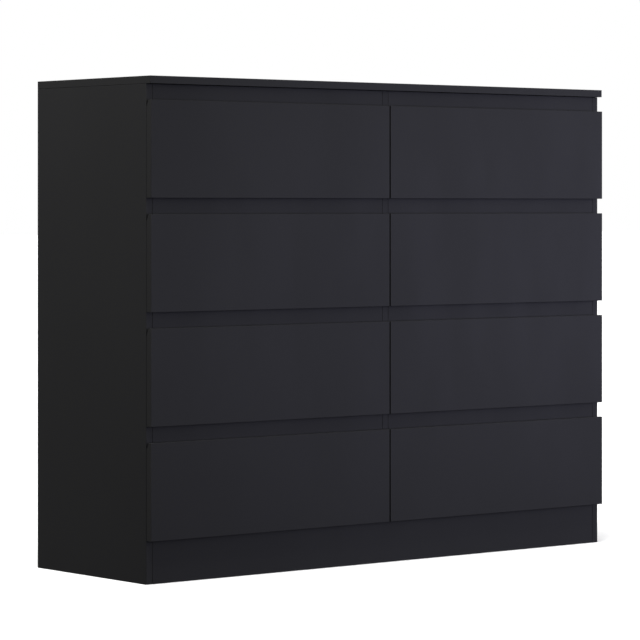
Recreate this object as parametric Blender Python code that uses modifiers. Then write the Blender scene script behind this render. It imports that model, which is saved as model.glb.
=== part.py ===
"""A chest of eight drawers in two columns of four, with no handles.

The carcass is 15 mm laminated board: a top panel that lies over two side panels, a centre divider, a plinth
and a rear base rail that the divider is notched round, and a rail behind each band between the drawer fronts.
The fronts cover the edges of the side panels, and their upper edges are cut back behind for the fingers. Each
drawer runs on two roller runners, one steel section on the drawer and one on the carcass.

Blender 4.5, in metres, +Z up. The drawers open along -Y, and the origin is at the centre of the base.
"""

import math

import bmesh
import bpy
from mathutils import Matrix, Vector

# Outside of the whole chest
WIDTH = 1.200
HEIGHT = 0.9725
SIDE_DEPTH = 0.368

# Boards
BOARD = 0.015
DRAWER_BOARD = 0.012
HARDBOARD = 0.003
JOINT_GAP = 0.0003

# What shows at the front, from the floor up
PLINTH_REVEAL = 0.0835
FRONT_HEIGHT = 0.1875
BAND_HEIGHT = 0.031
ROWS = 4
RAIL_OVERLAP = 0.0145
TOP_OVERHANG = 0.0135

# Drawer fronts
FRONT_INSET = 0.0005
CENTRE_GAP = 0.003
GRIP_DEPTH = 0.007
GRIP_HEIGHT = 0.014

# Drawer boxes
RUNNER_SPACE = 0.0125
BOX_LENGTH = 0.345
BOX_HEIGHT = 0.130
BOX_ABOVE_RAIL = 0.0055
BOTTOM_RAISED = 0.010
BACK_LOWERED = 0.010
GROOVE_DEPTH = 0.006
TONGUE = 0.005

# Roller runners of sheet steel. Starts are behind the front edges of the carcass, reaches are from the board
# that the carcass section is screwed to, and heights are above the lower edge of the drawer's side.
STEEL = 0.001
CARCASS_RUNNER_START = 0.018
CARCASS_RUNNER_LENGTH = 0.330
DRAWER_RUNNER_START = 0.003
DRAWER_RUNNER_LENGTH = 0.337
CARCASS_SECTION = {"head": 0.020, "head_reach": 0.0090, "foot": -0.008, "foot_reach": 0.0100, "lip": -0.0055}
DRAWER_SECTION = {"head": 0.0155, "head_reach": 0.0035, "foot_width": 0.0108, "lip": 0.0125}
ROLLER_SIDES = 24
PIN_SIDES = 12
FRONT_ROLLER = {"radius": 0.010, "height": 0.0045, "near": 0.0045, "far": 0.0090, "inset": 0.012}
REAR_ROLLER = {"radius": 0.009, "height": 0.0020, "near": 0.0030, "far": 0.0090, "inset": 0.011}
SHARP_ANGLE = math.radians(35)
AXLE_RADIUS = 0.003
THROUGH_PIN_RADIUS = 0.002
THROUGH_PIN_HEIGHT = 0.006
THROUGH_PIN_PLACES = (0.060, 0.190, 0.320)

REAR_BASE_RAIL_HEIGHT = 0.080
BACK_PANEL_INSET = 0.002
BACK_PANEL_SEAM = 0.001

# Worked out from the sizes above
ROW_PITCH = FRONT_HEIGHT + BAND_HEIGHT
FRONT_STANDS_OUT = BOARD + JOINT_GAP
TOTAL_DEPTH = FRONT_STANDS_OUT + SIDE_DEPTH + JOINT_GAP + HARDBOARD
CARCASS_FRONT = FRONT_STANDS_OUT - TOTAL_DEPTH / 2
CARCASS_BACK = CARCASS_FRONT + SIDE_DEPTH
UNDER_TOP = HEIGHT - BOARD
COLUMN_INSIDE = (WIDTH - 3 * BOARD) / 2
COLUMN_CENTRE = (COLUMN_INSIDE + BOARD) / 2
FRONT_WIDTH = (WIDTH - 2 * FRONT_INSET - CENTRE_GAP) / 2
FRONT_CENTRE = (FRONT_WIDTH + CENTRE_GAP) / 2
BOX_WIDTH = COLUMN_INSIDE - 2 * RUNNER_SPACE
BOX_BOTTOM = RAIL_OVERLAP + BOX_ABOVE_RAIL
RAIL_HEIGHT = BAND_HEIGHT + 2 * RAIL_OVERLAP
PLINTH_HEIGHT = PLINTH_REVEAL + RAIL_OVERLAP
SIDES = {"left": -1, "right": 1}


def front_bottom(row):
    """Height of the lower edge of the drawer fronts in a row. Row 1 is the top one."""
    return PLINTH_REVEAL + (ROWS - row) * ROW_PITCH


def clear_scene():
    for obj in list(bpy.data.objects):
        bpy.data.objects.remove(obj)


def new_collection(name):
    made = bpy.data.collections.new(name)
    bpy.context.scene.collection.children.link(made)
    return made


def new_material(name, colour, roughness, metallic=0.0):
    made = bpy.data.materials.new(name)
    made.use_nodes = True
    shader = made.node_tree.nodes["Principled BSDF"]
    shader.inputs["Base Color"].default_value = (*colour, 1.0)
    shader.inputs["Roughness"].default_value = roughness
    shader.inputs["Metallic"].default_value = metallic
    made.diffuse_color = (*colour, 1.0)
    return made


clear_scene()
CHEST = new_collection("chest_of_drawers")
CUTTERS = new_collection("cutters")
LAMINATE = new_material("black_laminate", (0.030, 0.030, 0.035), 0.55)
INNER_BOARD = new_material("drawer_board", (0.62, 0.62, 0.60), 0.60)
BACK_BOARD = new_material("hardboard", (0.30, 0.20, 0.12), 0.75)
RUNNER_STEEL = new_material("runner_steel", (0.70, 0.70, 0.69), 0.40)


def place(name, mesh, material=None, location=(0, 0, 0), parent=None, collection=CHEST):
    """Puts a mesh in the scene as an object of that name."""
    obj = bpy.data.objects.new(name, mesh)
    collection.objects.link(obj)
    obj.location = location
    obj.parent = parent
    if material and not mesh.materials:
        mesh.materials.append(material)
    return obj


def cutter(name, mesh, location=(0, 0, 0)):
    """A helper that only shapes another piece, so it is left out of the render."""
    obj = place(name, mesh, location=location, collection=CUTTERS)
    obj.hide_render = True
    obj.display_type = "WIRE"
    return obj


def mesh_of(bm, name):
    mesh = bpy.data.meshes.new(name)
    bm.to_mesh(mesh)
    bm.free()
    return mesh


def block_mesh(name, size):
    """A block of that size about its own centre."""
    bm = bmesh.new()
    bmesh.ops.create_cube(bm, size=1.0)
    bmesh.ops.scale(bm, vec=size, verts=bm.verts)
    return mesh_of(bm, name)


def span(low, high):
    """Centre and size of the block between two corners."""
    low, high = Vector(low), Vector(high)
    return (low + high) / 2, high - low


def block(name, low, high, material, parent=None):
    """A board that fills the space between two corners."""
    centre, size = span(low, high)
    return place(name, block_mesh(name, size), material, centre, parent)


def block_cutter(name, low, high):
    centre, size = span(low, high)
    return cutter(name, block_mesh(name, size), centre)


def cylinder_mesh(name, radius, starts, length, sides):
    """Cylinders along X, one from each of the given start points."""
    bm = bmesh.new()
    turn = Matrix.Rotation(math.pi / 2, 4, "Y")
    for start in starts:
        middle = Vector(start) + Vector((length / 2, 0, 0))
        bmesh.ops.create_cone(
            bm, cap_ends=True, segments=sides, radius1=radius, radius2=radius, depth=length,
            matrix=Matrix.Translation(middle) @ turn,
        )
    return mesh_of(bm, name)


def add_boolean(obj, other, operation):
    step = obj.modifiers.new(other.name, "BOOLEAN")
    step.operation = operation
    step.object = other
    step.solver = "EXACT"


def finished_mesh(obj, helpers, name):
    """The object's mesh with its modifiers applied, in scene axes. The object and its helpers then go."""
    bpy.context.view_layer.update()
    graph = bpy.context.evaluated_depsgraph_get()
    mesh = bpy.data.meshes.new_from_object(obj.evaluated_get(graph))
    mesh.transform(obj.matrix_world)
    mesh.name = name
    for piece in (obj, *helpers):
        bpy.data.objects.remove(piece)
    return mesh


def mirrored(mesh, name):
    """A copy for the other hand, mirrored across X = 0."""
    other = mesh.copy()
    other.name = name
    other.transform(Matrix.Scale(-1, 4, (1, 0, 0)))
    other.flip_normals()
    return other


def folded_strip(name, path, start, length):
    """Sheet steel folded along a path across the section, as (x, z) points, and running back along Y."""
    bm = bmesh.new()
    points = [bm.verts.new((x, start, z)) for x, z in path]
    edges = [bm.edges.new(pair) for pair in zip(points, points[1:])]
    swept = bmesh.ops.extrude_edge_only(bm, edges=edges)
    far = [item for item in swept["geom"] if isinstance(item, bmesh.types.BMVert)]
    bmesh.ops.translate(bm, verts=far, vec=(0, length, 0))
    bmesh.ops.recalc_face_normals(bm, faces=bm.faces)
    strip = place(name, mesh_of(bm, name), collection=CUTTERS)
    thicken = strip.modifiers.new("sheet thickness", "SOLIDIFY")
    thicken.thickness = STEEL
    thicken.offset = 0
    thicken.use_even_offset = True
    return strip


def add_roller(strip, roller, y, web):
    """Joins a roller and its axle to a folded strip whose upright web is at x = web."""
    height = roller["height"]
    wheel = cutter(
        "roller",
        cylinder_mesh("roller", roller["radius"], [(roller["near"], y, height)],
                      roller["far"] - roller["near"], ROLLER_SIDES),
    )
    middle = (roller["near"] + roller["far"]) / 2
    axle = cutter(
        "axle",
        cylinder_mesh("axle", AXLE_RADIUS, [(min(web, middle), y, height)], abs(web - middle), PIN_SIDES),
    )
    add_boolean(strip, axle, "UNION")
    add_boolean(strip, wheel, "UNION")
    return [wheel, axle]


def carcass_runner_mesh():
    """The section on the carcass. X is the distance from the board that it is screwed to, and Z the height
    above the lower edge of the drawer's side."""
    web = JOINT_GAP + STEEL / 2
    head, foot, foot_reach = (CARCASS_SECTION[key] for key in ("head", "foot", "foot_reach"))
    path = [
        (foot_reach, CARCASS_SECTION["lip"]), (foot_reach, foot), (web, foot), (web, head),
        (CARCASS_SECTION["head_reach"], head),
    ]
    strip = folded_strip("carcass_runner", path, CARCASS_RUNNER_START, CARCASS_RUNNER_LENGTH)
    helpers = add_roller(strip, FRONT_ROLLER, CARCASS_RUNNER_START + FRONT_ROLLER["inset"], web)
    return finished_mesh(strip, helpers, "carcass_runner")


def drawer_runner_mesh():
    """The section on the drawer, in the same axes as the carcass section. Its foot lies under the drawer's
    side, and its head rides on the carcass section's roller."""
    web = RUNNER_SPACE - JOINT_GAP - STEEL / 2
    foot = -JOINT_GAP - STEEL / 2
    head, head_reach = DRAWER_SECTION["head"], DRAWER_SECTION["head_reach"]
    path = [
        (web + DRAWER_SECTION["foot_width"], foot), (web, foot), (web, head),
        (head_reach, head), (head_reach, DRAWER_SECTION["lip"]),
    ]
    strip = folded_strip("drawer_runner", path, DRAWER_RUNNER_START, DRAWER_RUNNER_LENGTH)
    end = DRAWER_RUNNER_START + DRAWER_RUNNER_LENGTH
    helpers = add_roller(strip, REAR_ROLLER, end - REAR_ROLLER["inset"], web)
    return finished_mesh(strip, helpers, "drawer_runner")


def runner_pair_mesh(right_hand, left_hand):
    """The two carcass runners of the divider, back to back and joined by pins that pass through it."""
    face = BOARD / 2
    pair = place("pair", right_hand.copy(), location=(face, 0, 0), collection=CUTTERS)
    other = cutter("other", left_hand.copy(), (-face, 0, 0))
    reach = face + JOINT_GAP + STEEL / 2
    starts = [(-reach, y, THROUGH_PIN_HEIGHT) for y in THROUGH_PIN_PLACES]
    pins = cutter("pins", cylinder_mesh("pins", THROUGH_PIN_RADIUS, starts, 2 * reach, PIN_SIDES))
    add_boolean(pair, pins, "UNION")
    add_boolean(pair, other, "UNION")
    return finished_mesh(pair, [pins, other], "divider_runner_pair")


def smooth_round_parts(mesh):
    mesh.shade_smooth()
    mesh.set_sharp_from_angle(angle=SHARP_ANGLE)


def front_mesh():
    """A drawer front about the middle of its lower rear edge. Its upper rear edge slopes back from the rail
    as a grip, and a stopped groove takes the front edge of the drawer's bottom."""
    bm = bmesh.new()
    bmesh.ops.create_cube(bm, size=1.0)
    bmesh.ops.scale(bm, vec=(FRONT_WIDTH, BOARD, FRONT_HEIGHT), verts=bm.verts)
    bmesh.ops.translate(bm, verts=bm.verts, vec=(0, -BOARD / 2, FRONT_HEIGHT / 2))
    slope = Vector((0, GRIP_HEIGHT, GRIP_DEPTH))
    sloped = bmesh.ops.bisect_plane(
        bm, geom=[*bm.verts, *bm.edges, *bm.faces], dist=1e-6, clear_outer=True,
        plane_co=(0, 0, FRONT_HEIGHT - GRIP_HEIGHT), plane_no=slope,
    )
    rim = [item for item in sloped["geom_cut"] if isinstance(item, bmesh.types.BMEdge)]
    bmesh.ops.contextual_create(bm, geom=rim)
    bmesh.ops.recalc_face_normals(bm, faces=bm.faces)
    board = place("front", mesh_of(bm, "drawer_front"), collection=CUTTERS)
    groove = block_cutter(
        "groove",
        (-BOX_WIDTH / 2, -GROOVE_DEPTH, BOX_BOTTOM + BOTTOM_RAISED - JOINT_GAP),
        (BOX_WIDTH / 2, GROOVE_DEPTH, BOX_BOTTOM + BOTTOM_RAISED + HARDBOARD + JOINT_GAP),
    )
    add_boolean(board, groove, "DIFFERENCE")
    return finished_mesh(board, [groove], "drawer_front")


def box_mesh():
    """Two sides, a back and a bottom, glued up as one. It is measured from the rear face of the drawer front,
    and its bottom reaches forward into the front's groove."""
    half = BOX_WIDTH / 2
    inside = half - DRAWER_BOARD
    start, end = JOINT_GAP, BOX_LENGTH
    low, high = BOX_BOTTOM, BOX_BOTTOM + BOX_HEIGHT
    floor = low + BOTTOM_RAISED
    spans = {
        "side": ((-half, start, low), (-inside, end, high)),
        "other_side": ((inside, start, low), (half, end, high)),
        "back": ((-inside - TONGUE, end - DRAWER_BOARD, low), (inside + TONGUE, end, high - BACK_LOWERED)),
        "floor": ((-inside - TONGUE, -TONGUE, floor), (inside + TONGUE, end - TONGUE, floor + HARDBOARD)),
    }
    boards = [block_cutter(name, *corners) for name, corners in spans.items()]
    base, *others = boards
    for other in others:
        add_boolean(base, other, "UNION")
    return finished_mesh(base, others, "drawer_box")


def build_carcass():
    half = WIDTH / 2
    front, back = CARCASS_FRONT, CARCASS_BACK
    stop = UNDER_TOP - JOINT_GAP

    block("top_panel", (-half, front - TOP_OVERHANG, UNDER_TOP), (half, back, HEIGHT), LAMINATE)
    for side, sign in SIDES.items():
        inner, outer = sign * (half - BOARD), sign * half
        block(f"{side}_side_panel", (min(inner, outer), front, 0), (max(inner, outer), back, stop), LAMINATE)

    reach = half - BOARD - JOINT_GAP
    block("plinth_board", (-reach, front, 0), (reach, front + BOARD, PLINTH_HEIGHT), LAMINATE)
    block("rear_base_rail", (-reach, back - BOARD, 0), (reach, back, REAR_BASE_RAIL_HEIGHT), LAMINATE)
    build_divider()
    build_rails()
    build_back()


def build_divider():
    """The divider stands on the floor, notched round the plinth and the rear base rail."""
    half = BOARD / 2
    front, back = CARCASS_FRONT, CARCASS_BACK
    divider = block(
        "centre_divider", (-half, front, 0), (half, back, UNDER_TOP - JOINT_GAP), LAMINATE
    )
    notches = {
        "plinth_notch": (front - BOARD, front + BOARD + JOINT_GAP, PLINTH_HEIGHT + JOINT_GAP),
        "base_rail_notch": (back - BOARD - JOINT_GAP, back + BOARD, REAR_BASE_RAIL_HEIGHT + JOINT_GAP),
    }
    for name, (near, far, height) in notches.items():
        notch = block_cutter(name, (-BOARD, near, -BOARD), (BOARD, far, height))
        add_boolean(divider, notch, "DIFFERENCE")
    starts = [
        (-BOARD, front + y, front_bottom(row) + BOX_BOTTOM + THROUGH_PIN_HEIGHT)
        for row in range(1, ROWS + 1)
        for y in THROUGH_PIN_PLACES
    ]
    radius = THROUGH_PIN_RADIUS + 2 * JOINT_GAP
    holes = cutter("pin_holes", cylinder_mesh("pin_holes", radius, starts, 2 * BOARD, PIN_SIDES))
    add_boolean(divider, holes, "DIFFERENCE")


def build_rails():
    """A rail behind each band, from the divider to the side panel. The top panel cuts the first one short."""
    length = COLUMN_INSIDE - 2 * JOINT_GAP
    front = CARCASS_FRONT
    for row in range(1, ROWS + 1):
        low = front_bottom(row) + FRONT_HEIGHT - RAIL_OVERLAP
        high = min(low + RAIL_HEIGHT, UNDER_TOP - JOINT_GAP)
        for side, sign in SIDES.items():
            middle = sign * COLUMN_CENTRE
            block(
                f"rail_{row}_{side}",
                (middle - length / 2, front, low),
                (middle + length / 2, front + BOARD, high),
                LAMINATE,
            )


def build_back():
    """Two sheets of hardboard on the rear edges of the carcass, which meet on the divider."""
    near = CARCASS_BACK + JOINT_GAP
    outer, inner = WIDTH / 2 - BACK_PANEL_INSET, BACK_PANEL_SEAM / 2
    for side, sign in SIDES.items():
        ends = sorted((sign * inner, sign * outer))
        block(
            f"back_panel_{side}",
            (ends[0], near, BACK_PANEL_INSET),
            (ends[1], near + HARDBOARD, HEIGHT - BACK_PANEL_INSET),
            BACK_BOARD,
        )


def build_carcass_runners(right_hand, left_hand):
    """Runners on the inner faces of the side panels, and a pair on the divider, for each row."""
    pair = runner_pair_mesh(right_hand, left_hand)
    face = WIDTH / 2 - BOARD
    for row in range(1, ROWS + 1):
        height = front_bottom(row) + BOX_BOTTOM
        place(f"left_side_runner_{row}", right_hand, RUNNER_STEEL, (-face, CARCASS_FRONT, height))
        place(f"right_side_runner_{row}", left_hand, RUNNER_STEEL, (face, CARCASS_FRONT, height))
        place(f"divider_runner_pair_{row}", pair, RUNNER_STEEL, (0, CARCASS_FRONT, height))


def build_drawers():
    """Eight drawers. Each hangs on an empty at the carcass front, in the middle of its column and level with
    the lower edge of its front, and slides along -Y."""
    front, box = front_mesh(), box_mesh()
    left_runner = drawer_runner_mesh()
    right_runner = mirrored(left_runner, "drawer_runner_mirrored")
    for mesh in (left_runner, right_runner):
        smooth_round_parts(mesh)
    half = COLUMN_INSIDE / 2
    for row in range(1, ROWS + 1):
        for side, sign in SIDES.items():
            name = f"drawer_{row}_{side}"
            origin = (sign * COLUMN_CENTRE, CARCASS_FRONT, front_bottom(row))
            slide = place(f"{name}_slide", None, location=origin)
            shift = sign * (FRONT_CENTRE - COLUMN_CENTRE)
            place(f"{name}_front", front, LAMINATE, (shift, -JOINT_GAP, 0), slide)
            place(f"{name}_box", box, INNER_BOARD, (0, -JOINT_GAP, 0), slide)
            place(f"{name}_runner_left", left_runner, RUNNER_STEEL, (-half, 0, BOX_BOTTOM), slide)
            place(f"{name}_runner_right", right_runner, RUNNER_STEEL, (half, 0, BOX_BOTTOM), slide)


def main():
    build_carcass()
    right_hand = carcass_runner_mesh()
    left_hand = mirrored(right_hand, "carcass_runner_mirrored")
    for mesh in (right_hand, left_hand):
        smooth_round_parts(mesh)
    build_carcass_runners(right_hand, left_hand)
    build_drawers()


main()
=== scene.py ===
import math

import bmesh
import bpy
from mathutils import Matrix, Vector


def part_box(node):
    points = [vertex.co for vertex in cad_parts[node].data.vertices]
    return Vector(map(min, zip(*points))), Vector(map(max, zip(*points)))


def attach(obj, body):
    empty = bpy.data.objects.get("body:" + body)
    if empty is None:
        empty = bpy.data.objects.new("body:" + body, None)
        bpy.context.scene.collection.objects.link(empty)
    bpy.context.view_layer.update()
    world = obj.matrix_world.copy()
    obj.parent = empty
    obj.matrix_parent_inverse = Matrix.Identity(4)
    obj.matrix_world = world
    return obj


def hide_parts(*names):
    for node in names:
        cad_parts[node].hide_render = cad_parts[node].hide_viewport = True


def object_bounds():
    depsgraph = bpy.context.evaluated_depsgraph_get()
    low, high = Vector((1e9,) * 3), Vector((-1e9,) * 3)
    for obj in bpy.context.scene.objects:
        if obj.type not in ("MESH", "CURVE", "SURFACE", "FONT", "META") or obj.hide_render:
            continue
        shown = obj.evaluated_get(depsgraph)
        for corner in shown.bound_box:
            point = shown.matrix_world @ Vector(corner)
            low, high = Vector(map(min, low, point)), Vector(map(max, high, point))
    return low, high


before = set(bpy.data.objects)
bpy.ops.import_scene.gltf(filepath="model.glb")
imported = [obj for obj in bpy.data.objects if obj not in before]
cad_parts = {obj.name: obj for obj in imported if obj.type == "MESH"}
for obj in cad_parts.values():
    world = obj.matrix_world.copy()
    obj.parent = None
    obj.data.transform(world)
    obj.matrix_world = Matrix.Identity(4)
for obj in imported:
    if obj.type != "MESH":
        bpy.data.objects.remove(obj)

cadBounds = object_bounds()

# what the pieces are placed from, read from the frame
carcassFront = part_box("left_side_panel")[0].y
columns = ("left", "right")
rows = (1, 2, 3, 4)  # counted from the top
drawers = {(row, column): f"drawer_{row}_{column}" for row in rows for column in columns}
faceOf = {  # the board faces that the runners are screwed to, by column and hand
    ("left", "left"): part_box("left_side_panel")[1].x,
    ("left", "right"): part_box("centre_divider")[0].x,
    ("right", "left"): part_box("centre_divider")[1].x,
    ("right", "right"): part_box("right_side_panel")[0].x,
}


class Signal:  # one node output, so that shader maths reads as a plain sum
    def __init__(self, graph, socket):
        self.graph = graph
        self.socket = socket

    def math(self, operation, first, second):
        return self.graph.node("ShaderNodeMath", {"operation": operation}, {0: first, 1: second})

    def __add__(self, other):
        return self.math("ADD", self, other)

    def __radd__(self, other):
        return self.math("ADD", other, self)

    def __sub__(self, other):
        return self.math("SUBTRACT", self, other)

    def __rsub__(self, other):
        return self.math("SUBTRACT", other, self)

    def __mul__(self, other):
        return self.math("MULTIPLY", self, other)

    def __rmul__(self, other):
        return self.math("MULTIPLY", other, self)


class Graph:  # a node tree, with one way to add a node to it
    def __init__(self, tree):
        self.tree = tree

    def node(self, kind, settings, inputs, output=0):  # settings first, then the sockets
        made = self.tree.nodes.new(kind)
        for name, value in settings.items():
            setattr(made, name, value)
        for name, value in inputs.items():
            self.feed(made.inputs[name], value)
        return Signal(self, made.outputs[output])

    def feed(self, socket, value):
        if isinstance(value, Signal):
            self.tree.links.new(value.socket, socket)
        else:
            socket.default_value = value


class Finish(Graph):  # a material that is built up from nodes
    def __init__(self, name, constants):
        self.material = bpy.data.materials.new(name)
        self.material.use_nodes = True
        super().__init__(self.material.node_tree)
        self.shader = self.tree.nodes["Principled BSDF"]
        for socketName, value in constants.items():
            self.shader.inputs[socketName].default_value = value
        self.place = self.node("ShaderNodeTexCoord", {}, {}, "Object")

    def stretched(self, scale):  # object coordinates, in cycles per metre along each axis
        return self.node("ShaderNodeMapping", {}, {"Vector": self.place, "Scale": scale})

    def noise(self, where, scale, detail=2.0, roughness=0.5):
        sockets = {"Vector": where, "Scale": scale, "Detail": detail, "Roughness": roughness}
        return self.node("ShaderNodeTexNoise", {}, sockets)

    def cells(self, scale, output):  # small fields that meet, such as flakes or crystals
        return self.node("ShaderNodeTexVoronoi", {}, {"Vector": self.place, "Scale": scale}, output)

    def band(self, value, low, high, start=0.0, end=1.0):  # a smooth step from start to end
        sockets = {"Value": value, "From Min": low, "From Max": high, "To Min": start, "To Max": end}
        return self.node("ShaderNodeMapRange", {"interpolation_type": "SMOOTHSTEP"}, sockets)

    def blend(self, share, first, second):  # two colours
        first, second = (c if isinstance(c, Signal) else (*c, 1.0) for c in (first, second))
        return self.node("ShaderNodeMix", {"data_type": "RGBA"}, {0: share, 6: first, 7: second}, 2)

    def sine(self, angle):
        return self.node("ShaderNodeMath", {"operation": "SINE"}, {0: angle})

    def bumps(self, height, depth):
        return self.node("ShaderNodeBump", {}, {"Height": height, "Distance": depth, "Strength": 1.0})

    def wear(self, **surfaces):  # what changes over the surface, by socket name
        for name, value in surfaces.items():
            self.feed(self.shader.inputs[name.replace("_", " ")], value)
        return self.material


laminateLook = {
    "darkest": (0.0094, 0.0094, 0.0102),
    "lightest": (0.0112, 0.0112, 0.0120),
    "cloudSize": 2.2,  # patches of tone, cycles per metre
    "roughness": 0.46,
    "specular": 0.33,
    "wipeSize": (9.0, 9.0, 3.0),
    "handling": 0.025,  # how far faint wiping marks move the roughness
    "grainSize": 1400.0,  # pearl grain pressed into the melamine
    "grainDepth": 0.00002,
}


def blackLaminate():
    look = laminateLook
    made = Finish("black_laminate", {"Specular IOR Level": look["specular"]})
    cloud = made.noise(made.place, look["cloudSize"], 3.0)
    wiped = made.noise(made.stretched(look["wipeSize"]), 1.0, 4.0, 0.6)
    grain = made.noise(made.place, look["grainSize"], 1.0)
    pearl = made.noise(made.place, look["grainSize"] / 4)
    roughness = look["roughness"] + (made.band(wiped, 0.35, 0.65) - 0.5) * look["handling"]
    return made.wear(
        Base_Color=made.blend(made.band(cloud, 0.3, 0.7), look["darkest"], look["lightest"]),
        Roughness=roughness + (pearl - 0.5) * 0.04,
        Normal=made.bumps(grain * 0.6 + pearl * 0.4, look["grainDepth"]),
    )


bandLook = {
    "colour": (0.0120, 0.0120, 0.0126),
    "paler": (0.0150, 0.0150, 0.0156),
    "roughness": 0.45,
    "specular": 0.30,
    "scratchSize": (60.0, 900.0, 60.0),
    "speckSize": 700.0,
    "scratchDepth": 0.000015,
}


def edgeBand():  # thin plastic banding
    look = bandLook
    made = Finish("black_edge_band", {"Specular IOR Level": look["specular"]})
    lines = made.noise(made.stretched(look["scratchSize"]), 1.0, 3.0, 0.7)
    specks = made.noise(made.place, look["speckSize"], 1.0)
    return made.wear(
        Base_Color=made.blend(made.band(lines, 0.45, 0.75), look["colour"], look["paler"]),
        Roughness=look["roughness"] + (lines - 0.5) * 0.10,
        Normal=made.bumps(lines * 0.7 + specks * 0.3, look["scratchDepth"]),
    )


chipLook = {
    "dust": (0.42, 0.29, 0.16),
    "pale": (0.58, 0.44, 0.27),
    "bark": (0.16, 0.09, 0.045),
    "flakeSize": 260.0,
    "flakeDepth": 0.0003,
    "specular": 0.2,
}


def chipboard():  # bare particle board, on edges that aren't banded
    look = chipLook
    made = Finish("chipboard_core", {"Specular IOR Level": look["specular"]})
    flakes = made.cells(look["flakeSize"], "Distance")
    coarse = made.noise(made.place, look["flakeSize"] / 3, 4.0, 0.7)
    bark = made.band(made.noise(made.place, look["flakeSize"] / 2), 0.64, 0.70)
    wood = made.blend(made.band(coarse, 0.35, 0.65), look["dust"], look["pale"])
    return made.wear(
        Base_Color=made.blend(bark, wood, look["bark"]),
        Roughness=made.band(coarse, 0.3, 0.7, 0.82, 0.95),
        Normal=made.bumps(flakes + coarse, look["flakeDepth"]),
    )


foilLook = {
    "thread": (0.50, 0.50, 0.485),
    "gap": (0.455, 0.455, 0.44),
    "threadsPerMetre": 900.0,
    "threadLength": 14,  # in threads' widths
    "threadDepth": 0.00004,
    "cloudSize": 5.0,
    "roughness": 0.58,
    "specular": 0.35,
}


def greyFoil():  # drawer boards, wrapped in a foil with a faint linen print
    look = foilLook
    made = Finish("grey_linen_foil", {"Specular IOR Level": look["specular"]})
    fine = look["threadsPerMetre"]
    coarse = fine / look["threadLength"]
    along, across, depthwise = (
        made.noise(made.stretched(scale), 1.0)
        for scale in ((fine, coarse, coarse), (coarse, coarse, fine), (coarse, fine, coarse))
    )
    weave = (along + across + depthwise) * (1 / 3)
    cloud = made.noise(made.place, look["cloudSize"])
    return made.wear(
        Base_Color=made.blend(made.band(weave, 0.40, 0.60), look["gap"], look["thread"]),
        Roughness=look["roughness"] + (cloud - 0.5) * 0.08,
        Normal=made.bumps(weave, look["threadDepth"]),
    )


bottomLook = {
    "paint": (0.48, 0.48, 0.465),
    "worn": (0.43, 0.43, 0.415),
    "cloudSize": 6.0,
    "peelSize": 420.0,  # the fine orange peel of rolled paint
    "peelDepth": 0.00003,
    "roughness": 0.48,
    "specular": 0.35,
}


def paintedHardboard():  # drawer bottoms, smooth painted side
    look = bottomLook
    made = Finish("painted_hardboard", {"Specular IOR Level": look["specular"]})
    peel = made.noise(made.place, look["peelSize"])
    cloud = made.noise(made.place, look["cloudSize"], 4.0, 0.6)
    return made.wear(
        Base_Color=made.blend(made.band(cloud, 0.4, 0.75), look["paint"], look["worn"]),
        Roughness=look["roughness"] + (cloud - 0.5) * 0.12,
        Normal=made.bumps(peel, look["peelDepth"]),
    )


sheetLook = {
    "fibre": (0.205, 0.118, 0.058),
    "fibrePale": (0.305, 0.190, 0.105),
    "fibreDark": (0.105, 0.056, 0.026),
    "fibreSize": (160.0, 160.0, 420.0),
    "fleckSize": 240.0,
    "blotchSize": 7.0,
    "screenPitch": 3900.0,  # marks of the press screen, radians per metre
    "screenDepth": 0.00012,
    "specular": 0.2,
}


def bareHardboard():  # back sheets: brown fibre with the mark of the press screen
    look = sheetLook
    made = Finish("bare_hardboard", {"Specular IOR Level": look["specular"]})
    fibres = made.noise(made.stretched(look["fibreSize"]), 1.0, 5.0, 0.7)
    flecks = made.noise(made.place, look["fleckSize"])
    blotch = made.noise(made.place, look["blotchSize"], 3.0)
    x, z = (made.node("ShaderNodeSeparateXYZ", {}, {0: made.place}, axis) for axis in ("X", "Z"))
    screen = made.sine(x * look["screenPitch"]) * made.sine(z * look["screenPitch"])
    wood = made.blend(made.band(fibres, 0.35, 0.68), look["fibre"], look["fibrePale"])
    spotted = made.blend(made.band(flecks, 0.66, 0.74), wood, look["fibreDark"])
    return made.wear(
        Base_Color=made.blend(made.band(blotch, 0.3, 0.8, 0.0, 0.28), spotted, look["fibreDark"]),
        Roughness=made.band(fibres, 0.3, 0.7, 0.70, 0.88),
        Normal=made.bumps(screen * 0.5 + fibres, look["screenDepth"]),
    )


steelLook = {
    "bright": (0.66, 0.67, 0.67),
    "dull": (0.50, 0.51, 0.52),
    "spangle": 90.0,  # zinc crystals, cycles per metre
    "rolledSize": (700.0, 20.0, 700.0),  # streaks along the runner
    "rolledDepth": 0.00001,
    "roughness": 0.34,
}


def zincSteel():
    look = steelLook
    made = Finish("zinc_plated_steel", {"Metallic": 1.0})
    tone = made.noise(made.cells(look["spangle"], "Color"), 3.0, 0.0)
    rolled = made.noise(made.stretched(look["rolledSize"]), 1.0, 3.0)
    return made.wear(
        Base_Color=made.blend(made.band(tone, 0.3, 0.7), look["dull"], look["bright"]),
        Roughness=look["roughness"] + (tone - 0.5) * 0.14 + (rolled - 0.5) * 0.10,
        Normal=made.bumps(rolled, look["rolledDepth"]),
    )


screwLook = {"bright": (0.60, 0.58, 0.54), "stained": (0.42, 0.40, 0.37), "stainSize": 260.0}


def screwMetal():
    look = screwLook
    made = Finish("nickel_screws", {"Metallic": 1.0})
    stain = made.noise(made.place, look["stainSize"], 3.0)
    return made.wear(
        Base_Color=made.blend(made.band(stain, 0.35, 0.7), look["bright"], look["stained"]),
        Roughness=made.band(stain, 0.3, 0.7, 0.26, 0.42),
    )


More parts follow.
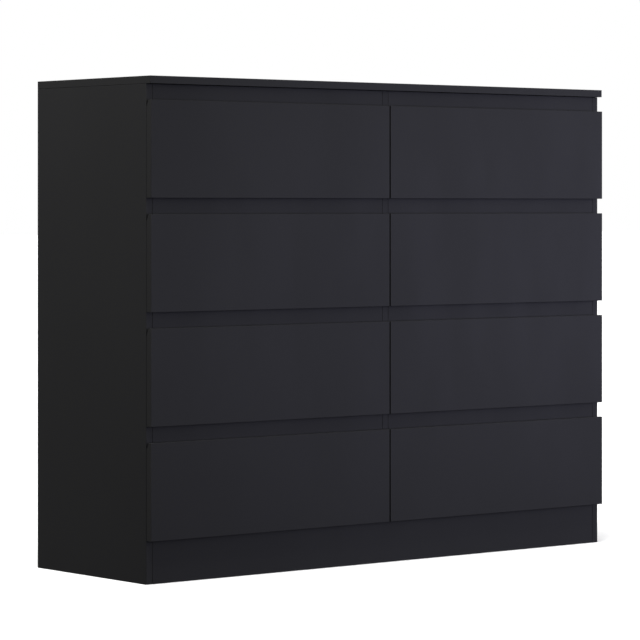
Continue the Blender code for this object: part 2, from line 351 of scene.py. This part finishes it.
nylonLook = {
    "pale": (0.70, 0.70, 0.67),
    "dull": (0.60, 0.60, 0.57),
    "cloudSize": 130.0,
    "grainSize": 1500.0,
    "grainDepth": 0.00001,
    "roughness": 0.40,
    "specular": 0.45,
}


def nylon():
    look = nylonLook
    made = Finish("white_nylon", {"Specular IOR Level": look["specular"]})
    cloud = made.noise(made.place, look["cloudSize"], 3.0)
    grain = made.noise(made.place, look["grainSize"], 1.0)
    return made.wear(
        Base_Color=made.blend(made.band(cloud, 0.35, 0.7), look["pale"], look["dull"]),
        Roughness=look["roughness"] + (cloud - 0.5) * 0.16,
        Normal=made.bumps(grain, look["grainDepth"]),
    )


plasticLook = {
    "darkest": (0.014, 0.014, 0.014),
    "lightest": (0.020, 0.020, 0.020),
    "cloudSize": 30.0,
    "grainSize": 900.0,
    "grainDepth": 0.00002,
    "roughness": 0.42,
    "specular": 0.4,
}


def blackPlastic():
    look = plasticLook
    made = Finish("black_plastic", {"Specular IOR Level": look["specular"]})
    grain = made.noise(made.place, look["grainSize"])
    cloud = made.noise(made.place, look["cloudSize"])
    return made.wear(
        Base_Color=made.blend(made.band(cloud, 0.3, 0.7), look["darkest"], look["lightest"]),
        Roughness=look["roughness"] + (cloud - 0.5) * 0.1,
        Normal=made.bumps(grain, look["grainDepth"]),
    )


laminate = blackLaminate()
banding = edgeBand()
core = chipboard()
foil = greyFoil()
bottomPaint = paintedHardboard()
hardboard = bareHardboard()
zinc = zincSteel()
screwSteel = screwMetal()
rollerNylon = nylon()
plastic = blackPlastic()
print("finishes made")


def addPiece(name, bm, body, finishes, slot=None, standsFor=()):
    mesh = bpy.data.meshes.new(name)
    bm.to_mesh(mesh)
    bm.free()
    for finish in finishes:
        mesh.materials.append(finish)
    piece = bpy.data.objects.new(name, mesh)
    bpy.context.scene.collection.objects.link(piece)
    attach(piece, body)
    if standsFor:
        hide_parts(*standsFor)
    return piece


def newVerts(result):
    return [item for item in result["geom"] if isinstance(item, bmesh.types.BMVert)]


def block(low, high):  # a closed box between two corners
    low, high = Vector(low), Vector(high)
    bm = bmesh.new()
    bmesh.ops.create_cube(bm, size=1.0)
    bmesh.ops.scale(bm, vec=high - low, verts=bm.verts)
    bmesh.ops.translate(bm, vec=(low + high) / 2, verts=bm.verts)
    return bm


def pushedOutline(corners, along):  # a flat outline pushed through space, with both ends closed
    bm = bmesh.new()
    outline = bm.faces.new([bm.verts.new(corner) for corner in corners])
    pushed = bmesh.ops.extrude_face_region(bm, geom=[outline])
    bmesh.ops.translate(bm, vec=along, verts=newVerts(pushed))
    bmesh.ops.recalc_face_normals(bm, faces=bm.faces)
    return bm


def easeEdges(bm, width, segments):  # takes the sharpness off every corner
    sharp = [edge for edge in bm.edges if edge.calc_face_angle(0.0) > math.radians(10)]
    bmesh.ops.bevel(
        bm, geom=sharp, offset=width, affect="EDGES", segments=segments, profile=0.5, material=-1
    )


def axisOf(face):  # "+X", "-Z" and so on, or None on a slope
    for index, letter in enumerate("XYZ"):
        if abs(face.normal[index]) > 0.9999:
            return ("+" if face.normal[index] > 0 else "-") + letter
    return None


largestEdgeFace = 0.002  # square metres; a sloped face above this is a slope of its own, not an eased edge


def finishBoard(bm, thin, bare=()):  # finishes in order: wide faces, covered edges, bare edges
    for face in bm.faces:
        side = axisOf(face)
        if side is None:
            face.smooth = face.calc_area() < largestEdgeFace
            face.material_index = 1 if face.smooth else 0
        elif side[1] != thin:
            face.material_index = 2 if side in bare else 1


def roundShading(piece):  # smooth turned parts, with their corners kept
    piece.data.shade_smooth()
    piece.data.set_sharp_from_angle(angle=math.radians(34))


boardSpec = {
    "easing": 0.0004,  # edge radius of a banded board
    "segments": 2,
    "notchAir": 0.0003,  # between the divider's notches and the boards in them
}
boardFinishes = (laminate, banding, core)


def plainBoard(node, thin, bare=()):  # a carcass board on the place of its node
    bm = block(*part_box(node))
    easeEdges(bm, boardSpec["easing"], boardSpec["segments"])
    finishBoard(bm, thin, bare)
    addPiece(node + "_board", bm, "carcass", boardFinishes, "black_laminate", [node])


def notchedDivider():
    low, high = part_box("centre_divider")
    air = boardSpec["notchAir"]
    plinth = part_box("plinth_board")[1] + Vector((0, air, air))
    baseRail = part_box("rear_base_rail")
    railFront, railTop = baseRail[0].y - air, baseRail[1].z + air
    outline = [
        (plinth.y, low.z), (railFront, low.z), (railFront, railTop), (high.y, railTop),
        (high.y, high.z), (low.y, high.z), (low.y, plinth.z), (plinth.y, plinth.z),
    ]
    bm = pushedOutline([(low.x, y, z) for y, z in outline], (high.x - low.x, 0, 0))
    easeEdges(bm, boardSpec["easing"], boardSpec["segments"])
    finishBoard(bm, "X", ["+Y", "-Z", "+Z"])
    addPiece("centre_divider_board", bm, "carcass", boardFinishes, "black_laminate", ["centre_divider"])


plainBoard("top_panel", "Z", bare=["+Y"])
for side in columns:
    plainBoard(f"{side}_side_panel", "X", bare=["+Y", "-Z"])
plainBoard("plinth_board", "Y", bare=["-Z"])
plainBoard("rear_base_rail", "Y", bare=["-Z"])
for row in rows:
    for column in columns:
        plainBoard(f"rail_{row}_{column}", "Y")
notchedDivider()
print("carcass boards made")


frontSpec = {
    "easing": 0.0004,
    "segments": 3,
    "gripDepth": 0.007,  # how far the upper rear edge is cut back
    "gripHeight": 0.014,
    "seat": 0.0002,  # how far the rear face comes closer to the carcass than its node
    "grooveDepth": 0.006,
    "grooveAir": 0.0003,
}
boxSpec = {
    "board": 0.012,
    "bottom": 0.003,
    "bottomRaised": 0.010,
    "backLowered": 0.010,
    "tongue": 0.005,  # how far the bottom enters its grooves
    "air": 0.0003,
    "easing": 0.0008,
    "segments": 2,
    "bottomEasing": 0.0003,
}


def scoredPatch(bm, chosen, low, high):  # scores a rectangle into the chosen faces, and gives its inside
    across = [axis for axis in range(3) if high[axis] > low[axis]]
    for axis in across:
        normal = Vector([float(index == axis) for index in range(3)])
        for corner in (low, high):
            faces = [face for face in bm.faces if chosen(face)]
            geom = dict.fromkeys(item for face in faces for item in (face, *face.edges, *face.verts))
            bmesh.ops.bisect_plane(bm, geom=list(geom), dist=1e-6, plane_co=corner, plane_no=normal)
    return [
        face for face in bm.faces
        if chosen(face) and all(low[axis] < face.calc_center_median()[axis] < high[axis] for axis in across)
    ]


def sinkPocket(bm, outward, low, high, depth):  # a rectangular recess in the face that looks outward
    inside = scoredPatch(bm, lambda face: face.normal.dot(outward) > 0.999, low, high)
    pushed = bmesh.ops.extrude_face_region(bm, geom=inside)
    bmesh.ops.translate(bm, vec=-outward * depth, verts=newVerts(pushed))
    bmesh.ops.delete(bm, geom=inside, context="FACES_ONLY")
    bmesh.ops.recalc_face_normals(bm, faces=bm.faces)


def drawerFront(drawer):
    low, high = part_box(f"{drawer}_front")
    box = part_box(f"{drawer}_box")
    spec = frontSpec
    high.y += spec["seat"]
    outline = [
        (low.y, low.z), (high.y, low.z), (high.y, high.z - spec["gripHeight"]),
        (high.y - spec["gripDepth"], high.z), (low.y, high.z),
    ]
    bm = pushedOutline([(low.x, y, z) for y, z in outline], (high.x - low.x, 0, 0))
    easeEdges(bm, spec["easing"], spec["segments"])
    floor = box[0].z + boxSpec["bottomRaised"]
    grooveLow = Vector((box[0].x, high.y, floor - spec["grooveAir"]))
    grooveHigh = Vector((box[1].x, high.y, floor + boxSpec["bottom"] + spec["grooveAir"]))
    sinkPocket(bm, Vector((0, 1, 0)), grooveLow, grooveHigh, spec["grooveDepth"])
    finishBoard(bm, "Y")
    addPiece(f"{drawer}_panel", bm, drawer, boardFinishes, "black_laminate", [f"{drawer}_front"])


def drawerBox(drawer):
    node = f"{drawer}_box"
    low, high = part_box(node)
    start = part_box(f"{drawer}_front")[1].y + boxSpec["air"]
    board, air, tongue = boxSpec["board"], boxSpec["air"], boxSpec["tongue"]
    floor = low.z + boxSpec["bottomRaised"]
    grooveLow, grooveHigh = floor - air, floor + boxSpec["bottom"] + air

    def addBoard(name, bm, thin, bare):
        easeEdges(bm, boxSpec["easing"], boxSpec["segments"])
        finishBoard(bm, thin, bare)
        addPiece(f"{drawer}_{name}", bm, drawer, (foil, foil, core), "drawer_board", [node])

    for hand, outer, sign in (("left", low.x, 1), ("right", high.x, -1)):
        inner, bed = outer + sign * board, outer + sign * (board - tongue - air)
        outline = [
            (outer, low.z), (inner, low.z), (inner, grooveLow), (bed, grooveLow),
            (bed, grooveHigh), (inner, grooveHigh), (inner, high.z), (outer, high.z),
        ]
        bm = pushedOutline([(x, start, z) for x, z in outline], (0, high.y - start, 0))
        addBoard(f"side_{hand}", bm, "X", ["+Y", "-Y"])

    back, top = high.y - board, high.z - boxSpec["backLowered"]
    bed = back + tongue + air
    outline = [
        (back, low.z), (high.y, low.z), (high.y, top), (back, top),
        (back, grooveHigh), (bed, grooveHigh), (bed, grooveLow), (back, grooveLow),
    ]
    left, right = low.x + board + air, high.x - board - air
    bm = pushedOutline([(left, y, z) for y, z in outline], (right - left, 0, 0))
    addBoard("back", bm, "Y", ["+X", "-X"])

    bm = block(
        (left - tongue, start - air - tongue, floor),
        (right + tongue, back + tongue, floor + boxSpec["bottom"]),
    )
    easeEdges(bm, boxSpec["bottomEasing"], 1)
    for face in bm.faces:
        face.material_index = 0 if axisOf(face) == "+Z" else 1
    addPiece(f"{drawer}_bottom", bm, drawer, (bottomPaint, hardboard), "drawer_board", [node])


for drawer in drawers.values():
    drawerFront(drawer)
    drawerBox(drawer)
print("drawer fronts and boxes made")


screwSpec = {
    "radius": 0.0035,
    "height": 0.0011,
    "crown": 0.72,  # shares of the radius: the flat top, and the rim round the recess
    "rim": 0.22,
    "recess": 0.0007,
    "sides": 20,
}
camSpec = {  # the turned locks of the cam fittings that hold the front
    "radius": 0.0075,
    "height": 0.0004,
    "crown": 0.96,
    "rim": 0.46,
    "recess": 0.0003,
    "sides": 28,
}
recessShape = {"waist": 0.42, "floor": 0.7}  # how narrow the cross is between its arms, and how it tapers


def joined(parts):  # several small shapes as one mesh
    whole = bmesh.new()
    for bm in parts:
        part = bpy.data.meshes.new("part")
        bm.to_mesh(part)
        bm.free()
        whole.from_mesh(part)
        bpy.data.meshes.remove(part)
    return whole


def roundHead(place, outward, spec):  # a low round head on a surface, with a driver recess shaped as a cross
    bm = bmesh.new()
    bmesh.ops.create_cone(
        bm, cap_ends=True, segments=spec["sides"], radius1=spec["radius"],
        radius2=spec["radius"] * spec["crown"], depth=spec["height"],
    )
    bmesh.ops.translate(bm, vec=(0, 0, spec["height"] / 2), verts=bm.verts)
    crown = [face for face in bm.faces if face.normal.z > 0.9]
    bmesh.ops.inset_region(bm, faces=crown, thickness=spec["radius"] * spec["rim"])
    for number, vert in enumerate(sorted(crown[0].verts, key=lambda v: math.atan2(v.co.y, v.co.x))):
        pull = 1.0 if number % (spec["sides"] // 4) == 0 else recessShape["waist"]
        vert.co.x *= pull
        vert.co.y *= pull
    sunk = bmesh.ops.extrude_discrete_faces(bm, faces=crown)["faces"]
    bmesh.ops.translate(bm, vec=(0, 0, -spec["recess"]), verts=sunk[0].verts)
    bmesh.ops.scale(bm, vec=(recessShape["floor"], recessShape["floor"], 1), verts=sunk[0].verts)
    turn = Vector((0, 0, 1)).rotation_difference(Vector(outward)).to_matrix().to_4x4()
    bmesh.ops.transform(bm, matrix=Matrix.Translation(place) @ turn, verts=bm.verts)
    return bm


def roundHeads(places, outward, spec):  # all looking the same way
    return joined([roundHead(place, outward, spec) for place in places])


runnerSpec = {
    "steel": 0.0010,
    "foldRadius": 0.0012,
    "foldSegments": 3,
    "air": 0.0003,
    "sideSpace": 0.0125,  # between the carcass board and the drawer's side
    "screwHeight": 0.0080,
    "slotLength": 0.014,
    "slotHeight": 0.0045,
}
carcassWeb = runnerSpec["air"] + runnerSpec["steel"] / 2
drawerWeb = runnerSpec["sideSpace"] - runnerSpec["air"] - runnerSpec["steel"] / 2
drawerFoot = -runnerSpec["air"] - runnerSpec["steel"] / 2
# X is out from the carcass board, Y back from the carcass front, and Z up from the drawer's lower edge
carcassSection = {
    "start": 0.018,
    "length": 0.330,
    "web": carcassWeb,
    "path": [(0.0100, -0.0055), (0.0100, -0.008), (carcassWeb, -0.008), (carcassWeb, 0.020), (0.0090, 0.020)],
    "headsLook": 1,  # the way along X
    "screws": (0.060, 0.190, 0.320),
    "slots": (0.090, 0.130, 0.230, 0.270),
    "roller": {"radius": 0.010, "height": 0.0045, "near": 0.0045, "far": 0.0090, "place": 0.030},
}
drawerSection = {
    "start": 0.003,
    "length": 0.337,
    "web": drawerWeb,
    "path": [
        (drawerWeb + 0.0108, drawerFoot), (drawerWeb, drawerFoot), (drawerWeb, 0.0155),
        (0.0035, 0.0155), (0.0035, 0.0125),
    ],
    "headsLook": -1,
    "screws": (0.040, 0.160, 0.290),
    "slots": (0.080, 0.120, 0.210, 0.250),
    "roller": {"radius": 0.009, "height": 0.0020, "near": 0.0030, "far": 0.0090, "place": 0.329},
}
wheelSpec = {
    "bore": 0.0016,
    "boreIn": 0.0008,  # how far in from the wheel's side
    "hub": (0.0030, 0.0042),  # radii where the hub's flat starts and ends
    "hubIn": 0.0002,
    "webStart": 0.0046,
    "webIn": 0.0009,
    "web": 0.78,  # shares of the radius, where the web ends and the rim starts
    "rim": 0.82,
    "corner": (0.0005, 0.0006),  # of the tread, across it and down the wheel's side
    "hollow": (0.4, 0.0001),  # of the tread: where it starts, as a share of the width, and its depth
    "steps": 36,
}
axleSpec = {
    "radius": 0.0014,
    "headWidth": 1.8,  # in widths of the axle
    "headHeight": 0.0004,
    "endIn": 0.0006,  # how far inside the roller's side the head starts
    "sides": 20,
}


def foldedSteel(section):  # sheet steel folded along the section's path, with slots in its web
    spec = runnerSpec
    bm = bmesh.new()
    points = [bm.verts.new((x, section["start"], z)) for x, z in section["path"]]
    edges = [bm.edges.new(pair) for pair in zip(points, points[1:])]
    swept = bmesh.ops.extrude_edge_only(bm, edges=edges)
    bmesh.ops.translate(bm, vec=(0, section["length"], 0), verts=newVerts(swept))
    bmesh.ops.recalc_face_normals(bm, faces=bm.faces)
    half = Vector((0, spec["slotLength"] / 2, spec["slotHeight"] / 2))
    for place in section["slots"]:
        centre = Vector((section["web"], place, spec["screwHeight"]))
        slot = scoredPatch(bm, lambda face: abs(face.normal.x) > 0.99, centre - half, centre + half)
        bmesh.ops.delete(bm, geom=slot, context="FACES")
    easeEdges(bm, spec["foldRadius"], spec["foldSegments"])
    return bm


def rollerWheel(roller):  # turned about its axle, with a hub and a shallow tread
    spec = wheelSpec
    radius, near, far = roller["radius"], roller["near"], roller["far"]
    place, height = roller["place"], roller["height"]
    across, down = spec["corner"]
    hollowStart, hollowDepth = spec["hollow"]
    side = [  # in from the wheel's side, and out from its axis
        (spec["boreIn"], spec["bore"]), (spec["hubIn"], spec["hub"][0]), (spec["hubIn"], spec["hub"][1]),
        (spec["webIn"], spec["webStart"]), (spec["webIn"], radius * spec["web"]), (0, radius * spec["rim"]),
        (0, radius - down), (across, radius), ((far - near) * hollowStart, radius - hollowDepth),
    ]
    profile = [(near + x, out) for x, out in side] + [(far - x, out) for x, out in reversed(side)]
    bm = bmesh.new()
    points = [bm.verts.new((x, place, height + out)) for x, out in profile]
    loop = [bm.edges.new(pair) for pair in zip(points, points[1:] + points[:1])]
    bmesh.ops.spin(
        bm, geom=points + loop, cent=(0, place, height), axis=(1, 0, 0), angle=math.tau,
        steps=spec["steps"], use_merge=True,
    )
    bmesh.ops.remove_doubles(bm, verts=bm.verts, dist=1e-6)
    bmesh.ops.recalc_face_normals(bm, faces=bm.faces)
    return bm


def rivet(section):  # the axle, from the web to a flat head on its free end
    spec, roller, sign = axleSpec, section["roller"], section["headsLook"]
    start, place, height = section["web"], roller["place"], roller["height"]
    end = (roller["far"] if sign > 0 else roller["near"]) - sign * spec["endIn"]
    bm = bmesh.new()
    middle = Matrix.Translation(((start + end) / 2, place, height))
    bmesh.ops.create_cone(
        bm, cap_ends=True, segments=spec["sides"], radius1=spec["radius"], radius2=spec["radius"],
        depth=abs(end - start), matrix=middle @ Matrix.Rotation(math.pi / 2, 4, "Y"),
    )
    head = [face for face in bm.faces if face.normal.x * sign > 0.9]
    ring = bmesh.ops.extrude_discrete_faces(bm, faces=head)["faces"]
    bmesh.ops.scale(
        bm, vec=(1, spec["headWidth"], spec["headWidth"]), verts=ring[0].verts,
        space=Matrix.Translation((0, -place, -height)),
    )
    cap = bmesh.ops.extrude_discrete_faces(bm, faces=ring)["faces"]
    bmesh.ops.translate(bm, vec=(sign * spec["headHeight"], 0, 0), verts=cap[0].verts)
    bmesh.ops.recalc_face_normals(bm, faces=bm.faces)
    return bm


def addRunner(name, node, body, section, seat):  # one section, with its roller, axle and screws
    face, hand, height = seat

    def add(suffix, bm, finish, *stands):  # mirrored for the right-hand side, then moved to its board
        if hand == "right":
            bmesh.ops.scale(bm, vec=(-1, 1, 1), verts=bm.verts)
            bmesh.ops.reverse_faces(bm, faces=bm.faces)
        bmesh.ops.translate(bm, vec=(face, carcassFront, height), verts=bm.verts)
        piece = addPiece(name + suffix, bm, body, [finish], *stands)
        roundShading(piece)
        return piece

    wall = add("", foldedSteel(section), zinc, "runner_steel", [node]).modifiers.new("sheet", "SOLIDIFY")
    wall.thickness = runnerSpec["steel"]
    wall.offset = 0.0  # thickness on both sides of the fold line
    wall.use_even_offset = True

    add("_roller", rollerWheel(section["roller"]), rollerNylon)
    add("_axle", rivet(section), screwSteel)
    surface = section["web"] + section["headsLook"] * runnerSpec["steel"] / 2
    places = [(surface, place, runnerSpec["screwHeight"]) for place in section["screws"]]
    add("_screws", roundHeads(places, (section["headsLook"], 0, 0), screwSpec), screwSteel)


for (row, column), drawer in drawers.items():
    for hand in columns:
        seat = (faceOf[column, hand], hand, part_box(f"{drawer}_box")[0].z)
        node = f"{column}_side_runner_{row}" if column == hand else f"divider_runner_pair_{row}"
        addRunner(f"carcass_runner_{row}_{column}_{hand}", node, "carcass", carcassSection, seat)
        addRunner(f"{drawer}_slide_{hand}", f"{drawer}_runner_{hand}", drawer, drawerSection, seat)
print("runners made")


fittingSpec = {
    "fromFront": 0.024,  # the cams, behind the drawer front
    "heights": (0.034, 0.098),  # cams and rear screws, above the drawer's lower edge
}


def drawerFittings(drawer):
    low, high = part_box(f"{drawer}_box")
    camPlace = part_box(f"{drawer}_front")[1].y + fittingSpec["fromFront"]
    screwPlace = high.y - boxSpec["board"] / 2
    for hand, outer, sign in (("left", low.x, 1), ("right", high.x, -1)):
        inner = outer + sign * boxSpec["board"]
        cams = [(inner, camPlace, low.z + height) for height in fittingSpec["heights"]]
        heads = roundHeads(cams, (sign, 0, 0), camSpec)
        roundShading(addPiece(f"{drawer}_cams_{hand}", heads, drawer, [screwSteel]))
        screws = [(outer, screwPlace, low.z + height) for height in fittingSpec["heights"]]
        heads = roundHeads(screws, (-sign, 0, 0), screwSpec)
        roundShading(addPiece(f"{drawer}_back_screws_{hand}", heads, drawer, [screwSteel]))


for drawer in drawers.values():
    drawerFittings(drawer)


backSpec = {
    "standsIn": 0.0006,  # the sheet is thinner than its node, so that nails and strip stay within it
    "easing": 0.0004,
    "nailSpacing": 0.115,
    "nailInset": 0.0075,
    "nailRadius": 0.0023,
    "nailCrown": 0.6,  # share of the radius
    "nailHeight": 0.0005,
    "nailSides": 14,
    "stripWidth": 0.022,
    "stripProud": 0.0005,
    "stripEasing": 0.0002,
}


def spread(start, end, spacing):  # evenly spaced places from start to end
    count = max(1, round(abs(end - start) / spacing))
    return [start + (end - start) * number / count for number in range(count + 1)]


def nailHead(place):
    bm = bmesh.new()
    height, radius = backSpec["nailHeight"], backSpec["nailRadius"]
    middle = Matrix.Translation(Vector(place) + Vector((0, height / 2, 0)))
    bmesh.ops.create_cone(
        bm, cap_ends=True, segments=backSpec["nailSides"], radius1=radius,
        radius2=radius * backSpec["nailCrown"], depth=height,
        matrix=middle @ Matrix.Rotation(-math.pi / 2, 4, "X"),
    )
    return bm


def backSheet(column):
    node = f"back_panel_{column}"
    low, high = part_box(node)
    high.y -= backSpec["standsIn"]
    bm = block(low, high)
    easeEdges(bm, backSpec["easing"], 1)
    for face in bm.faces:
        face.material_index = 1 if axisOf(face) == "-Y" else 0
    addPiece(f"{node}_sheet", bm, "carcass", (hardboard, laminate), "hardboard", [node])

    inset = backSpec["nailInset"]
    xs = spread(low.x + inset, high.x - inset, backSpec["nailSpacing"])
    zs = spread(low.z + inset, high.z - inset, backSpec["nailSpacing"])
    outer = xs[0] if column == "left" else xs[-1]
    rim = [(x, z) for x in xs for z in (zs[0], zs[-1])] + [(outer, z) for z in zs[1:-1]]
    nails = [nailHead((x, high.y, z)) for x, z in rim]
    roundShading(addPiece(f"{node}_nails", joined(nails), "carcass", [screwSteel]))


def jointStrip():  # holds the two sheets together along the divider
    low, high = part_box("back_panel_left")
    half = backSpec["stripWidth"] / 2
    near = high.y - backSpec["standsIn"]
    bm = block((-half, near, low.z), (half, near + backSpec["stripProud"], high.z))
    easeEdges(bm, backSpec["stripEasing"], 2)
    addPiece("back_joint_strip", bm, "carcass", [plastic])


for column in columns:
    backSheet(column)
jointStrip()
print("back sheets, nails and fittings made")


studio = {
    "floorTone": (0.93, 0.93, 0.93),
    "floorPaler": (0.9486, 0.9486, 0.9486),
    "floorReach": 60.0,
    "backdrop": 1.0,
    "above": 0.60,  # what the surfaces see around them, over and under the horizon
    "below": 0.03,
    "horizon": 0.15,  # half the height that the change between them takes
    "overhead": 3.0,
    "overheadPlace": (-1.0, -1.2, 6.0),  # leans to the camera's side, so the shadow falls behind
    "overheadSpread": 20.0,
    "coolTint": (0.69, 0.69, 1.0),
    "lamps": {  # power, place, size and what it points at
        "key": (16.7, (3.0, -3.6, 0.4), 1.6, (0, 0, 0.5)),
        "side_key": (12.4, (3.6, -2.4, 0.7), 1.6, (0, 0, 0.5)),
        "fill": (3.0, (-1.1, 0.1, 1.7), 0.5, (-0.6, 0, 0.8)),
    },
}
lens = {
    "focalLength": 175.21,
    "sensor": 36.0,
    "place": (-4.1067, -4.8135, 0.7226),  # from the middle of the carcass front, on the floor
    "turn": -39.269,
    "shift": -0.1774,
    "reach": 200.0,
}


def makeFloor():
    bm = bmesh.new()
    bmesh.ops.create_grid(bm, x_segments=8, y_segments=8, size=studio["floorReach"])
    bmesh.ops.translate(bm, vec=(0, 0, cadBounds[0].z), verts=bm.verts)
    mesh = bpy.data.meshes.new("floor")
    bm.to_mesh(mesh)
    bm.free()
    made = Finish("pale_floor", {"Specular IOR Level": 0.2, "Roughness": 0.8})
    cloud = made.noise(made.place, 1.5, 3.0)
    tone = made.blend(cloud, studio["floorTone"], studio["floorPaler"])
    mesh.materials.append(made.wear(Base_Color=tone))
    floor = bpy.data.objects.new("floor", mesh)
    bpy.context.scene.collection.objects.link(floor)
    floor.visible_diffuse = False  # keeps its glare off the low boards
    floor.visible_glossy = False


def makeWorld():  # a white backdrop, with a dimmer surround for the light on the chest
    world = bpy.data.worlds.new("studio")
    bpy.context.scene.world = world
    world.use_nodes = True
    made = Graph(world.node_tree)
    made.tree.nodes.remove(made.tree.nodes["Background"])
    direction = made.node("ShaderNodeTexCoord", {}, {}, "Generated")
    height = made.node("ShaderNodeSeparateXYZ", {}, {0: direction}, "Z")
    level = made.node("ShaderNodeMapRange", {}, {
        "Value": height, "From Min": -studio["horizon"], "From Max": studio["horizon"],
        "To Min": studio["below"], "To Max": studio["above"],
    })
    white = (1, 1, 1, 1)
    around = made.node("ShaderNodeBackground", {}, {"Color": white, "Strength": level})
    seen = made.node("ShaderNodeBackground", {}, {"Color": white, "Strength": studio["backdrop"]})
    straight = made.node("ShaderNodeLightPath", {}, {}, "Is Camera Ray")
    both = made.node("ShaderNodeMixShader", {}, {0: straight, 1: around, 2: seen})
    made.feed(made.tree.nodes["World Output"].inputs["Surface"], both)


def addLight(name, kind, place, aim, settings):
    light = bpy.data.lights.new(name, kind)
    for key, value in settings.items():
        setattr(light, key, value)
    lamp = bpy.data.objects.new(name, light)
    bpy.context.scene.collection.objects.link(lamp)
    lamp.location = place
    lamp.rotation_euler = (Vector(aim) - Vector(place)).to_track_quat("-Z", "Y").to_euler()


def makeLights():
    addLight("overhead", "SUN", studio["overheadPlace"], (0, 0, 0), {
        "energy": studio["overhead"], "angle": math.radians(studio["overheadSpread"]),
    })
    for name, (power, place, size, aim) in studio["lamps"].items():
        tint = studio["coolTint"] if "key" in name else (1, 1, 1)
        addLight(name, "AREA", place, aim, {"energy": power, "shape": "DISK", "size": size, "color": tint})


def makeCamera():
    data = bpy.data.cameras.new("camera")
    data.lens = lens["focalLength"]
    data.sensor_width = lens["sensor"]
    data.shift_y = lens["shift"]
    data.clip_end = lens["reach"]
    camera = bpy.data.objects.new("camera", data)
    bpy.context.scene.collection.objects.link(camera)
    camera.location = Vector(lens["place"]) + Vector((0, carcassFront, 0))
    camera.rotation_euler = (math.pi / 2, 0, math.radians(lens["turn"]))
    bpy.context.scene.camera = camera


makeFloor()
makeWorld()
makeLights()
makeCamera()
bpy.context.scene.view_settings.view_transform = "Standard"
print("studio made")
